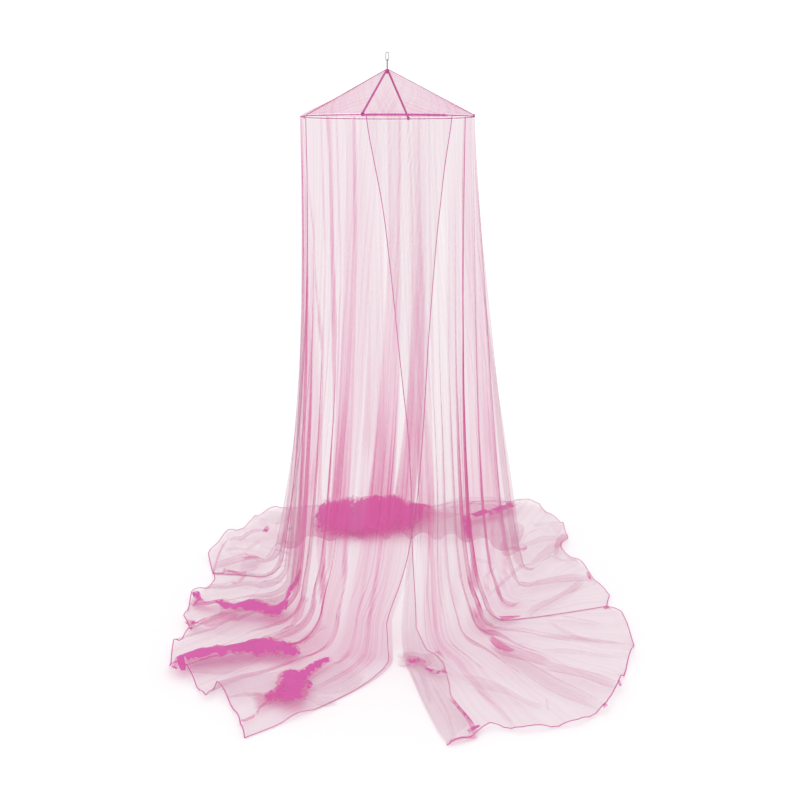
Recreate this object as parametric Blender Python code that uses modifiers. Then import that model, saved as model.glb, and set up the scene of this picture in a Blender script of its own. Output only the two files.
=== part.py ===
"""A round mosquito net canopy with its hoop, hung from one ring and pooled on the floor.

Metres, +Z up. The hoop's axis is the Z axis, the front faces -Y and the floor under the hem is Z = 0,
until the last section lowers everything so that the origin is at the hanging point.
Azimuths are in degrees round the Z axis from the front, and grow towards +X.
"""

from collections import namedtuple

import bmesh
import bpy
import numpy as np

for old in list(bpy.data.objects):
    bpy.data.objects.remove(old)

# ---------------------------------------------------------------- driving dimensions
HOOP_RADIUS = 0.300
HOOP_HEIGHT = 1.800
HOOP_WIRE = 0.0040
HOOP_STEPS = 44

CHANNEL_OUTSIDE = 0.0084
CHANNEL_WALL = 0.0014
CHANNEL_SLIT = 40.0

APEX_HEIGHT = 1.956
CROWN_RADIUS = 0.0070
CROWN_LENGTH = 0.014
GORE_THICK = 0.0012
GORE_SAG = 0.007
GORE_INNER_RADIUS = CROWN_RADIUS + 0.0006
GORE_OUTER_RADIUS = HOOP_RADIUS - 0.0020
GORE_TOP = APEX_HEIGHT - 0.72 * CROWN_LENGTH
SEAMS = (-15.0, 75.0, 165.0, 255.0)
TAPE_WIDTH = 0.0080
TAPE_THICK = 0.0016
TAPE_START = 0.035
SLOPE_FACTOR = 1.15

CORD = 0.0030
RING_WIRE = 0.0022
RING_WIDE = 0.0125
RING_TALL = 0.0290
RING_LOWEST = 1.9840
RING_STEPS = 20

SKIRT_THICK = 0.0015
FILLET = 0.100
SIT_GAP = 0.0003
SEAM_GAP = 0.0005
LAP_TOP = 0.0012
LAP_GROWTH = 0.0050
LAP_MARGIN = 14.0
LAP_EASE = 12.0

# ---------------------------------------------------------------- tables
# The crown's outline, top to bottom, in shares of its radius and length.
Bead = namedtuple("Bead", "radius height")
CROWN_SHAPE = (
    Bead(0.00, 1.00),
    Bead(0.55, 0.96),
    Bead(0.80, 0.86),
    Bead(0.66, 0.62),
    Bead(0.78, 0.42),
    Bead(1.00, 0.20),
    Bead(0.72, 0.00),
)

# How the free edges of the two front panels wander as they drop: share of the drop, azimuth.
Edge = namedtuple("Edge", "drop azimuth")
RIGHT_PANEL_EDGE = (
    Edge(0.00, -13.5),
    Edge(0.07, -9.0),
    Edge(0.17, -2.5),
    Edge(0.31, 2.5),
    Edge(0.45, 6.5),
    Edge(0.61, 11.0),
    Edge(0.75, 12.0),
    Edge(1.00, 5.5),
)
LEFT_PANEL_EDGE = (
    Edge(0.00, 46.0),
    Edge(0.08, 39.0),
    Edge(0.24, 31.0),
    Edge(0.42, 25.0),
    Edge(0.60, 22.0),
    Edge(0.75, 16.0),
    Edge(0.90, 9.0),
    Edge(1.00, 1.5),
)

# How far out the skirt stands just above the floor.
Foot = namedtuple("Foot", "azimuth radius")
FEET = (
    Foot(-105.0, 0.490),
    Foot(-88.0, 0.400),
    Foot(-60.0, 0.385),
    Foot(-30.0, 0.405),
    Foot(0.0, 0.415),
    Foot(40.0, 0.425),
    Foot(75.0, 0.430),
    Foot(90.0, 0.470),
    Foot(115.0, 0.560),
    Foot(135.0, 0.550),
    Foot(160.0, 0.470),
    Foot(180.0, 0.440),
    Foot(200.0, 0.470),
    Foot(220.0, 0.530),
    Foot(240.0, 0.545),
    Foot(255.0, 0.490),
)

# Where the hem lies on the floor: share of the panel's cloth, and the place.
Hem = namedtuple("Hem", "share x y")
RIGHT_HEM = (
    Hem(0.00, 0.169, -1.000),
    Hem(0.10, 0.229, -0.977),
    Hem(0.20, 0.304, -0.917),
    Hem(0.32, 0.400, -0.941),
    Hem(0.50, 0.572, -0.906),
    Hem(0.62, 0.678, -0.827),
    Hem(0.70, 0.770, -0.654),
    Hem(0.86, 0.862, -0.434),
    Hem(0.94, 0.872, -0.205),
    Hem(1.00, 0.832, -0.133),
)
BACK_HEM = (
    Hem(0.00, 0.832, -0.133),
    Hem(0.05, 0.859, -0.060),
    Hem(0.10, 0.826, 0.110),
    Hem(0.15, 0.800, 0.252),
    Hem(0.20, 0.744, 0.386),
    Hem(0.25, 0.804, 0.528),
    Hem(0.31, 0.783, 0.726),
    Hem(0.37, 0.731, 0.904),
    Hem(0.43, 0.600, 0.970),
    Hem(0.50, 0.200, 0.900),
    Hem(0.65, -0.080, 0.860),
    Hem(0.80, -0.340, 0.880),
    Hem(0.86, -0.540, 0.890),
    Hem(0.91, -0.640, 0.670),
    Hem(0.95, -0.728, 0.600),
    Hem(0.98, -0.769, 0.328),
    Hem(1.00, -0.723, 0.174),
)
LEFT_HEM = (
    Hem(0.00, -0.723, 0.174),
    Hem(0.07, -0.700, 0.090),
    Hem(0.14, -0.765, -0.051),
    Hem(0.22, -0.760, -0.230),
    Hem(0.30, -0.705, -0.342),
    Hem(0.38, -0.759, -0.406),
    Hem(0.46, -0.736, -0.579),
    Hem(0.56, -0.679, -0.592),
    Hem(0.66, -0.581, -0.760),
    Hem(0.74, -0.564, -0.660),
    Hem(0.86, -0.464, -0.864),
    Hem(1.00, -0.431, -0.958),
)

# The folds of each panel in order: their share of the width, how deep they hang near the floor, and how
# high they lie on it.
Fold = namedtuple("Fold", "width depth ridge")
RIGHT_FOLDS = (
    Fold(0.8, 0.012, 0.016),
    Fold(1.0, 0.016, 0.022),
    Fold(1.1, 0.020, 0.026),
    Fold(0.9, 0.018, 0.030),
    Fold(1.2, 0.024, 0.034),
    Fold(0.8, 0.020, 0.026),
    Fold(1.0, 0.018, 0.020),
)
BACK_FOLDS = (
    Fold(0.9, 0.018, 0.020),
    Fold(1.1, 0.024, 0.030),
    Fold(0.8, 0.020, 0.030),
    Fold(1.1, 0.026, 0.026),
    Fold(0.9, 0.022, 0.040),
    Fold(0.7, 0.020, 0.075),
    Fold(0.7, 0.020, 0.090),
    Fold(0.7, 0.020, 0.085),
    Fold(0.7, 0.020, 0.090),
    Fold(0.8, 0.022, 0.080),
    Fold(1.0, 0.026, 0.055),
    Fold(0.9, 0.022, 0.045),
    Fold(0.8, 0.016, 0.030),
)
LEFT_FOLDS = (
    Fold(0.9, 0.014, 0.030),
    Fold(0.8, 0.018, 0.045),
    Fold(1.0, 0.020, 0.030),
    Fold(0.7, 0.016, 0.050),
    Fold(0.9, 0.020, 0.032),
    Fold(1.0, 0.022, 0.028),
    Fold(0.7, 0.016, 0.045),
    Fold(0.9, 0.018, 0.024),
    Fold(1.1, 0.020, 0.022),
    Fold(0.9, 0.016, 0.018),
    Fold(0.8, 0.012, 0.014),
)
FOLD_STEPS = 6
HANG_ROWS = (0.0, 0.07, 0.20, 0.36, 0.53, 0.70, 0.86, 1.0)
TURN_ROWS = (30.0, 60.0, 90.0)
LIE_ROWS = (0.25, 0.50, 0.75, 1.0)
LIE_BEND = 0.36
FOLD_LEAN = 0.10
FOLD_AT_TOP = 0.05
FOLD_GROWTH = 1.25
BOW_MIDDLE = 1.7
BOW_SIDEWAYS = 0.5
HEM_FLATTENING = 0.45
VALLEY = 0.40
EDGE_STRIP = 0.010

# ---------------------------------------------------------------- collections and finishes
body = bpy.data.collections.new("mosquito_net_canopy")
bpy.context.scene.collection.children.link(body)

root = bpy.data.objects.new("canopy_root", None)
body.objects.link(root)


def finish(name, colour, roughness, metallic=0.0):
    material = bpy.data.materials.new(name)
    material.use_nodes = True
    shader = material.node_tree.nodes["Principled BSDF"]
    shader.inputs["Base Color"].default_value = (*colour, 1.0)
    shader.inputs["Roughness"].default_value = roughness
    shader.inputs["Metallic"].default_value = metallic
    return material


NET = finish("pink_net", (0.66, 0.16, 0.40), 0.75)
TAPE = finish("magenta_tape", (0.46, 0.045, 0.23), 0.70)
CORD_FINISH = finish("magenta_cord", (0.42, 0.02, 0.15), 0.65)
WIRE = finish("coated_wire", (0.62, 0.20, 0.40), 0.40)
SILVER = finish("bright_metal", (0.72, 0.72, 0.74), 0.25, 1.0)


def add(name, mesh, material):
    """The mesh as a smooth shaded object of the canopy."""
    mesh.materials.append(material)
    thing = bpy.data.objects.new(name, mesh)
    thing.parent = root
    body.objects.link(thing)
    mesh.shade_smooth()
    return thing


def ramp(value):
    """0 below 0, 1 above 1, and an even S between them."""
    value = np.clip(value, 0.0, 1.0)
    return value * value * (3.0 - 2.0 * value)


def outward(azimuth):
    """The level unit vectors at these azimuths."""
    angle = np.radians(azimuth)
    return np.stack([np.sin(angle), -np.cos(angle), np.zeros_like(angle)], axis=-1)


def unit(vector):
    return vector / np.linalg.norm(vector)


def grid_mesh(name, points, closed=False):
    """The surface through a grid of points, joined from its last row to its first where it is closed."""
    rows, columns = points.shape[:2]
    index = np.arange(rows * columns).reshape(rows, columns)
    here, there = (index, np.roll(index, -1, 0)) if closed else (index[:-1], index[1:])
    quads = np.stack([here[:, :-1], here[:, 1:], there[:, 1:], there[:, :-1]], -1)
    mesh = bpy.data.meshes.new(name)
    mesh.from_pydata(points.reshape(-1, 3).tolist(), [], quads.reshape(-1, 4).tolist())
    return mesh


def solidify(thing, thickness):
    wall = thing.modifiers.new("cloth", "SOLIDIFY")
    wall.thickness = thickness
    wall.offset = 0.0
    wall.use_even_offset = False


def wire_object(name, points, thickness, material, resolution, closed=False):
    """A round wire or cord along points."""
    curve = bpy.data.curves.new(name, "CURVE")
    curve.dimensions = "3D"
    curve.bevel_depth = thickness / 2
    curve.bevel_resolution = resolution
    curve.use_fill_caps = not closed
    spline = curve.splines.new("POLY")
    spline.points.add(len(points) - 1)
    spline.points.foreach_set("co", np.c_[points, np.ones(len(points))].ravel())
    spline.use_cyclic_u = closed
    curve.materials.append(material)
    thing = bpy.data.objects.new(name, curve)
    thing.parent = root
    body.objects.link(thing)
    return thing


# ---------------------------------------------------------------- hanging ring and loop
def oval(width, height, lowest):
    """Points round an upright link facing the front: two half circles joined by straight sides."""
    radius = width / 2
    straight = height - width
    turn = np.linspace(0.0, 2 * np.pi, RING_STEPS, endpoint=False) + np.pi / RING_STEPS
    x = radius * np.cos(turn)
    z = lowest + radius + radius * np.sin(turn) + np.where(np.sin(turn) > 0, straight, 0.0)
    return np.stack([x, np.zeros_like(x), z], axis=-1)


def hanging_ring():
    link = oval(RING_WIDE - RING_WIRE, RING_TALL - RING_WIRE, RING_LOWEST + RING_WIRE / 2)
    wire_object("hanging_ring", link, RING_WIRE, SILVER, 2, closed=True)


def hanging_loop():
    """Up one leg, over the ring's lowest wire and down the other leg."""
    bend = RING_WIRE / 2 + SIT_GAP + CORD / 2
    centre = RING_LOWEST + RING_WIRE / 2
    foot = APEX_HEIGHT + SIT_GAP
    legs = np.linspace(foot, centre, 5, endpoint=False)
    turn = np.linspace(0.0, np.pi, 9)
    y = np.concatenate([np.full(5, bend), bend * np.cos(turn), np.full(5, -bend)])
    z = np.concatenate([legs, centre + bend * np.sin(turn), legs[::-1]])
    points = np.stack([np.zeros_like(y), y, z], axis=-1)
    wire_object("hanging_loop", points, CORD, CORD_FINISH, 2)


def crown():
    """The bound tip, turned from its profile: a waist between two soft beads."""
    low = APEX_HEIGHT - CROWN_LENGTH
    profile = [(CROWN_RADIUS * row.radius, 0.0, low + CROWN_LENGTH * row.height) for row in CROWN_SHAPE]
    profile.append((0.0, 0.0, low))
    mesh = bpy.data.meshes.new("crown")
    mesh.from_pydata(profile, [(i, i + 1) for i in range(len(profile) - 1)], [])
    thing = add("crown", mesh, TAPE)
    turned = thing.modifiers.new("turned", "SCREW")
    turned.steps = turned.render_steps = 16
    turned.use_merge_vertices = True
    turned.merge_threshold = 0.00001


# ---------------------------------------------------------------- hoop and its channel
def hoop():
    azimuth = np.arange(HOOP_STEPS) * 360.0 / HOOP_STEPS
    circle = outward(azimuth) * HOOP_RADIUS + (0.0, 0.0, HOOP_HEIGHT)
    wire_object("hoop", circle, HOOP_WIRE, WIRE, 1, closed=True)


def hoop_channel():
    """A round sleeve about the hoop, left open along a slit that faces the middle."""
    half_slit = np.radians(CHANNEL_SLIT / 2)
    turn = np.linspace(np.pi - half_slit, half_slit - np.pi, 7)
    outside = CHANNEL_OUTSIDE / 2
    radius = np.repeat([outside, outside - CHANNEL_WALL], len(turn))
    turn = np.concatenate([turn, turn[::-1]])
    section_out = radius * np.cos(turn)
    section_up = radius * np.sin(turn)
    azimuth = np.arange(HOOP_STEPS + 1) % HOOP_STEPS * 360.0 / HOOP_STEPS
    ring = outward(azimuth)[None] * (HOOP_RADIUS + section_out)[:, None, None]
    ring = ring + np.array((0.0, 0.0, 1.0)) * (HOOP_HEIGHT + section_up)[:, None, None]
    mesh = grid_mesh("hoop_channel", ring, closed=True)
    tidy = bmesh.new()
    tidy.from_mesh(mesh)
    bmesh.ops.remove_doubles(tidy, verts=tidy.verts, dist=0.00001)
    bmesh.ops.recalc_face_normals(tidy, faces=tidy.faces)
    tidy.to_mesh(mesh)
    tidy.free()
    add("hoop_channel", mesh, TAPE)


# ---------------------------------------------------------------- roof
def roof_line(share, lift):
    """Radius and height along a straight roof line, from the crown (0) to the channel (1)."""
    low = HOOP_HEIGHT + CHANNEL_OUTSIDE / 2 + GORE_THICK / 2 + SIT_GAP
    radius = GORE_INNER_RADIUS + (GORE_OUTER_RADIUS - GORE_INNER_RADIUS) * share
    return radius, GORE_TOP + (low - GORE_TOP) * share + lift


def roof_gore(name, start, end):
    """A net gore that dips a little between its two seams, most at mid length."""
    along = np.linspace(0.0, 1.0, 6)
    across = np.linspace(0.0, 1.0, 9)
    radius, height = roof_line(along, 0.0)
    gap = np.degrees(SEAM_GAP / 2 / radius)
    azimuth = start + gap[:, None] + (end - start - 2 * gap[:, None]) * across
    sag = GORE_SAG * np.sin(np.pi * along)[:, None] * np.sin(np.pi * across)
    points = outward(azimuth) * radius[:, None, None]
    points[..., 2] = height[:, None] - sag
    thing = add(name, grid_mesh(name, points), NET)
    solidify(thing, GORE_THICK)


def roof_seam(name, azimuth):
    """A flat tape over one gore seam, from the crown to the channel."""
    along = np.array((0.0, 0.5, 1.0))
    lift = GORE_THICK / 2 + SIT_GAP + TAPE_THICK / 2
    radius, height = roof_line(TAPE_START + (1 - TAPE_START) * along, lift * SLOPE_FACTOR)
    side = outward(np.array(azimuth + 90.0))
    points = outward(np.full(3, azimuth))[:, None] * radius[:, None, None]
    points = points + side * np.array((-0.5, 0.0, 0.5))[:, None] * TAPE_WIDTH
    points[..., 2] = height[:, None]
    thing = add(name, grid_mesh(name, points), TAPE)
    solidify(thing, TAPE_THICK)


# ---------------------------------------------------------------- skirt
def column(table, field):
    return [getattr(row, field) for row in table]


def edge_azimuth(table, drop):
    return np.interp(drop, column(table, "drop"), column(table, "azimuth"))


def foot_radius(azimuth):
    level = (azimuth + 105.0) % 360.0 - 105.0
    return np.interp(level, column(FEET, "azimuth"), column(FEET, "radius"))


def fold_columns(folds):
    """For each column of the panel: its share of the cloth, the fold's wave from -1 to 1, depth and ridge.

    A narrow strip along either edge stays out of the folds, where the edge is turned and sewn.
    """
    widths = np.array(column(folds, "width"))
    starts = np.concatenate([[0.0], np.cumsum(widths)]) / widths.sum()
    step = np.arange(len(folds) * FOLD_STEPS + 1)
    fold = np.minimum(step // FOLD_STEPS, len(folds) - 1)
    part = step / FOLD_STEPS - fold
    share = starts[fold] + (part - FOLD_LEAN * np.sin(2 * np.pi * part)) * np.diff(starts)[fold]
    wave = -np.cos(2 * np.pi * part)
    share = np.concatenate([[0.0], EDGE_STRIP + (1 - 2 * EDGE_STRIP) * share, [1.0]])
    wave = np.concatenate([[-1.0], wave, [-1.0]])
    middles = (starts[:-1] + starts[1:]) / 2
    depth = np.interp(share, middles, column(folds, "depth"))
    ridge = np.interp(share, middles, column(folds, "ridge"))
    return share, wave, depth, ridge


def skirt_panel(name, first, last, hem, folds, lap):
    """A net panel that falls from the hoop, turns on the floor and lies out to its hem.

    first and last give the azimuth of its two edges at each share of the drop. lap is 1 for the panel
    that lies outside where the front panels overlap, -1 for the one inside, and 0 for the back.
    """
    share, wave, depth, ridge = fold_columns(folds)
    drop = np.array(HANG_ROWS)[:, None]
    start, end = first(drop), last(drop)
    azimuth = start + (end - start) * share
    foot = foot_radius(azimuth)
    bow = BOW_MIDDLE - BOW_SIDEWAYS * np.sin(np.radians(azimuth))
    radius = HOOP_RADIUS + (foot - HOOP_RADIUS) * drop**bow
    if lap > 0:
        lean = ramp((edge_azimuth(LEFT_PANEL_EDGE, drop) + LAP_MARGIN - azimuth) / LAP_EASE)
    elif lap < 0:
        lean = -ramp((azimuth - edge_azimuth(RIGHT_PANEL_EDGE, drop) + LAP_MARGIN) / LAP_EASE)
    else:
        lean = np.zeros_like(azimuth)
    growth = FOLD_AT_TOP + (1 - FOLD_AT_TOP) * drop**FOLD_GROWTH
    radius = radius + depth * growth * (wave + lean)
    radius = radius + lean * (LAP_TOP + LAP_GROWTH * drop)
    top = HOOP_HEIGHT - CHANNEL_OUTSIDE / 2 - SIT_GAP
    hang = outward(azimuth) * radius[..., None]
    hang[..., 2] = top + (FILLET + SKIRT_THICK / 2 - top) * drop

    # The turn starts where the hanging part ends and swings from straight down to flat along the floor.
    away = outward(azimuth[-1])
    foot_point = away * foot[-1][:, None]
    turn = np.radians(np.array(TURN_ROWS))[:, None]
    flatness = np.sin(turn)
    swell = depth * (1 - flatness) * (wave + lean[-1]) + flatness * ridge * lying(wave)
    reach = FILLET * (1 - np.cos(turn)) + swell * np.cos(turn) + lean[-1] * LAP_GROWTH * (1 - flatness)
    bend = foot_point + away * reach[..., None]
    bend[..., 2] = SKIRT_THICK / 2 + FILLET * (1 - np.sin(turn)) + swell * flatness

    # On the floor each line of cloth leaves straight outward and bends towards its place on the hem.
    leave = foot_point + away * FILLET
    goal = np.stack([np.interp(share, column(hem, "share"), column(hem, axis)) for axis in "xy"], -1)
    goal = np.c_[goal, np.zeros(len(goal))]
    goal[0] += unit(goal[1] - goal[0]) * SEAM_GAP
    goal[-1] += unit(goal[-2] - goal[-1]) * SEAM_GAP
    steer = leave + away * np.linalg.norm(goal - leave, axis=1)[:, None] * LIE_BEND
    out = np.array(LIE_ROWS)[:, None, None]
    lie = (1 - out) ** 2 * leave + 2 * out * (1 - out) * steer + out**2 * goal
    lie[..., 2] = SKIRT_THICK / 2 + ridge * lying(wave) * (1 - HEM_FLATTENING * out[..., 0])

    points = np.concatenate([hang, bend, lie])
    thing = add(name, grid_mesh(name, points), NET)
    solidify(thing, SKIRT_THICK)


def lying(wave):
    """The height of a fold that lies on the floor, as a share of its ridge: flat in its valleys."""
    return np.maximum(0.0, (wave + VALLEY) / (1 + VALLEY))


# ---------------------------------------------------------------- build
hanging_ring()
hanging_loop()
crown()
hoop()
hoop_channel()
for place, start, end in zip(
    ("front_right", "back_right", "back_left", "front_left"), SEAMS, SEAMS[1:] + (SEAMS[0] + 360.0,)
):
    roof_gore("roof_gore_" + place, start, end)
for place, azimuth in zip(("front", "right", "back", "left"), SEAMS):
    roof_seam("roof_seam_" + place, azimuth)

side_gap = np.degrees(SEAM_GAP / 2 / HOOP_RADIUS)
skirt_panel(
    "skirt_front_right",
    lambda drop: edge_azimuth(RIGHT_PANEL_EDGE, drop),
    lambda drop: np.full_like(drop, SEAMS[1] - side_gap),
    RIGHT_HEM,
    RIGHT_FOLDS,
    lap=1,
)
skirt_panel(
    "skirt_back",
    lambda drop: np.full_like(drop, SEAMS[1] + side_gap),
    lambda drop: np.full_like(drop, SEAMS[3] - side_gap),
    BACK_HEM,
    BACK_FOLDS,
    lap=0,
)
skirt_panel(
    "skirt_front_left",
    lambda drop: np.full_like(drop, SEAMS[3] - 360.0 + side_gap),
    lambda drop: edge_azimuth(LEFT_PANEL_EDGE, drop),
    LEFT_HEM,
    LEFT_FOLDS,
    lap=-1,
)

root.location.z = -(RING_LOWEST + RING_TALL - RING_WIRE)
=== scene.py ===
from collections import namedtuple

import bpy
import numpy as np
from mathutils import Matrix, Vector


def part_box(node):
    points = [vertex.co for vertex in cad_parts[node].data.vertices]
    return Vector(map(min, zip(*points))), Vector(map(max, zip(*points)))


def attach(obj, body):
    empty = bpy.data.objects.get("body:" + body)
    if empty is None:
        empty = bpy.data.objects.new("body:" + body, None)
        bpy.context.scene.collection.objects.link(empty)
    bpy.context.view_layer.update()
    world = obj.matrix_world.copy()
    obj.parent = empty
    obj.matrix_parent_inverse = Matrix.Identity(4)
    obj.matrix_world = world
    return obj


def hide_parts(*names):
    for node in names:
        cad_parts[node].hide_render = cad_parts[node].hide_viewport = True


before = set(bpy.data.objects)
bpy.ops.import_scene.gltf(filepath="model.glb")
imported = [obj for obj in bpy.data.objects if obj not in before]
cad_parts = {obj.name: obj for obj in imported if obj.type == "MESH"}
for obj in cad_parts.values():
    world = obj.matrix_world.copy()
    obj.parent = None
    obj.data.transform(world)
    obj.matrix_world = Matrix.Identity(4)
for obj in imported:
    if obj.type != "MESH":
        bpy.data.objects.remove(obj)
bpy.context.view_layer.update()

# ================================================================ camera, floor and light
# A canopy photographed straight on from eye height, tilted down, on a seamless white floor.
# Lengths are in metres and angles in degrees. Azimuth is counted from the front, +X at 90.
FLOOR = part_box("skirt_back")[0][2]
CAMERA_AWAY = 3.47
CAMERA_UP = FLOOR + 1.715
CAMERA_TILT = 75.0
CAMERA_YAW = 0.72
FOCAL_PIXELS = 961.5
FRAME_PIXELS = 800.0
SENSOR = 36.0
ROOM_LIGHT = 1.05
SOFTBOX_LIGHT = 0.25
SOFTBOX_ANGLE = 50.0
SOFTBOX_TILT = (28.0, -24.0, 0.0)
FLOOR_WHITE = 0.943
FLOOR_REACH = 14.0
FLOOR_GAP = 0.0005

lens = bpy.data.cameras.new("camera")
lens.sensor_width = SENSOR
lens.lens = FOCAL_PIXELS / FRAME_PIXELS * SENSOR
camera = bpy.data.objects.new("camera", lens)
camera.location = (0.0, -CAMERA_AWAY, CAMERA_UP)
camera.rotation_euler = (np.radians(CAMERA_TILT), 0.0, -np.radians(CAMERA_YAW))
bpy.context.scene.collection.objects.link(camera)
bpy.context.scene.camera = camera

world = bpy.data.worlds.new("studio")
world.use_nodes = True
world.node_tree.nodes["Background"].inputs["Color"].default_value = (1.0, 1.0, 1.0, 1.0)
world.node_tree.nodes["Background"].inputs["Strength"].default_value = ROOM_LIGHT
bpy.context.scene.world = world
bpy.context.scene.view_settings.view_transform = "Standard"
bpy.context.scene.cycles.transparent_max_bounces = 96

softbox = bpy.data.lights.new("wide_softbox", "SUN")
softbox.energy = SOFTBOX_LIGHT
softbox.angle = np.radians(SOFTBOX_ANGLE)
softbox_stand = bpy.data.objects.new("wide_softbox", softbox)
softbox_stand.rotation_euler = np.radians(SOFTBOX_TILT)
bpy.context.scene.collection.objects.link(softbox_stand)


def shader_material(name, colour, roughness):
    """A node material with one Principled shader, its plain colour and its roughness set."""
    material = bpy.data.materials.new(name)
    material.use_nodes = True
    shader = material.node_tree.nodes["Principled BSDF"]
    shader.inputs["Base Color"].default_value = (*colour, 1.0)
    shader.inputs["Roughness"].default_value = roughness
    return material, material.node_tree, shader


def grid_object(name, points, material, uv=None, closed=False, **shares):
    """A smooth surface through a grid of points, rows by columns, or through several such grids at once.

    closed joins a grid's last column to its first. uv holds cloth coordinates in metres, and each of shares
    a value for every point.
    """
    index = np.arange(points[..., 0].size).reshape(points.shape[:-1])
    if closed:
        index = np.concatenate([index, index[..., :1]], axis=-1)
    corners = (index[..., :-1, :-1], index[..., 1:, :-1], index[..., 1:, 1:], index[..., :-1, 1:])
    quads = np.stack(corners, -1).reshape(-1, 4)
    mesh = bpy.data.meshes.new(name)
    mesh.vertices.add(points[..., 0].size)
    mesh.vertices.foreach_set("co", points.astype(np.float32).ravel())
    mesh.loops.add(quads.size)
    mesh.loops.foreach_set("vertex_index", quads.astype(np.int32).ravel())
    mesh.polygons.add(len(quads))
    mesh.polygons.foreach_set("loop_start", np.arange(0, quads.size, 4, dtype=np.int32))
    mesh.update(calc_edges=True)
    if uv is not None:
        layer = mesh.uv_layers.new(name="cloth")
        layer.uv.foreach_set("vector", uv.reshape(-1, 2)[quads.ravel()].astype(np.float32).ravel())
    for share, values in shares.items():
        held = mesh.attributes.new(share, "FLOAT", "POINT")
        held.data.foreach_set("value", np.broadcast_to(values, points.shape[:-1]).astype(np.float32).ravel())
    mesh.materials.append(material)
    mesh.shade_smooth()
    piece = bpy.data.objects.new(name, mesh)
    bpy.context.scene.collection.objects.link(piece)
    return piece


floor_finish = shader_material("pale_floor", (FLOOR_WHITE,) * 3, 0.9)[0]
corners = np.array([[[-1, 1, 0], [1, 1, 0]], [[-1, -1, 0], [1, -1, 0]]]) * FLOOR_REACH
studio_floor = grid_object("studio_floor", corners + (0.0, 0.0, FLOOR - FLOOR_GAP), floor_finish)

# ================================================================ net
# Fine knitted polyester net, dyed pink. One layer lets most light through; bunched layers add up to magenta.
# Steep folds put more thread in the way, so the mesh stores how much net each point of it stands for.
NET_PITCH = 0.0013
# The thin tone is darker and greyer than the deep one: painted shade of the knit's threads in a single layer.
THIN_SHADED_PINK = (0.20, 0.070, 0.120)
DEEP_PINK = (0.26, 0.042, 0.130)
# The glows are painted light: the net gives off its own tones, which lifts it out of its own shade and
# flattens its shading. Bunched net is mostly glow on a dark base, so it shows flat and even.
PAINTED_NET_GLOW = 1.60
BUNCHED_PINK = (0.15, 0.026, 0.090)
PAINTED_BUNCH_GLOW = (0.50, 0.086, 0.292)
STREAKS_A_METRE = (42.0, 0.5)
RAGS_A_METRE = (9.0, 60.0)
MOST_COVER = 0.98
VALUE, COLOUR = "NodeSocketFloat", "NodeSocketColor"


def shader_group(name, taken, given):
    """An empty shader node group with its sockets: taken and given hold each one's name and kind."""
    group = bpy.data.node_groups.new(name, "ShaderNodeTree")
    for direction, sockets in (("INPUT", taken), ("OUTPUT", given)):
        for label, kind in sockets.items():
            group.interface.new_socket(label, in_out=direction, socket_type=kind)
    return group, group.nodes.new("NodeGroupInput").outputs, group.nodes.new("NodeGroupOutput").inputs


def fed(tree, kind, **inputs):
    """A new node of this kind, or a placed node group, each input set to a value or linked to a socket.

    An underscore in an input's name stands for a space.
    """
    node = tree.nodes.new(kind if isinstance(kind, str) else "ShaderNodeGroup")
    if not isinstance(kind, str):
        node.node_tree = kind
    for label, value in inputs.items():
        socket = node.inputs[label.replace("_", " ")]
        if isinstance(value, bpy.types.NodeSocket):
            tree.links.new(value, socket)
        else:
            socket.default_value = value
    return node


def ranged(tree, source, low, high, to_low, to_high):
    """source carried from one range to another, held at its ends."""
    ends = {"From_Min": low, "From_Max": high, "To_Min": to_low, "To_Max": to_high}
    return fed(tree, "ShaderNodeMapRange", Value=source, **ends).outputs["Result"]


def blended(tree, factor, first, second):
    """first where factor is 0, second where it is 1; each is a colour or a socket."""
    node = tree.nodes.new("ShaderNodeMix")
    node.data_type = "RGBA"
    tree.links.new(factor, node.inputs["Factor"])
    for label, colour in (("A", first), ("B", second)):
        if isinstance(colour, bpy.types.NodeSocket):
            tree.links.new(colour, node.inputs[label])
        else:
            node.inputs[label].default_value = (*colour, 1.0)
    return node.outputs["Result"]


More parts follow.
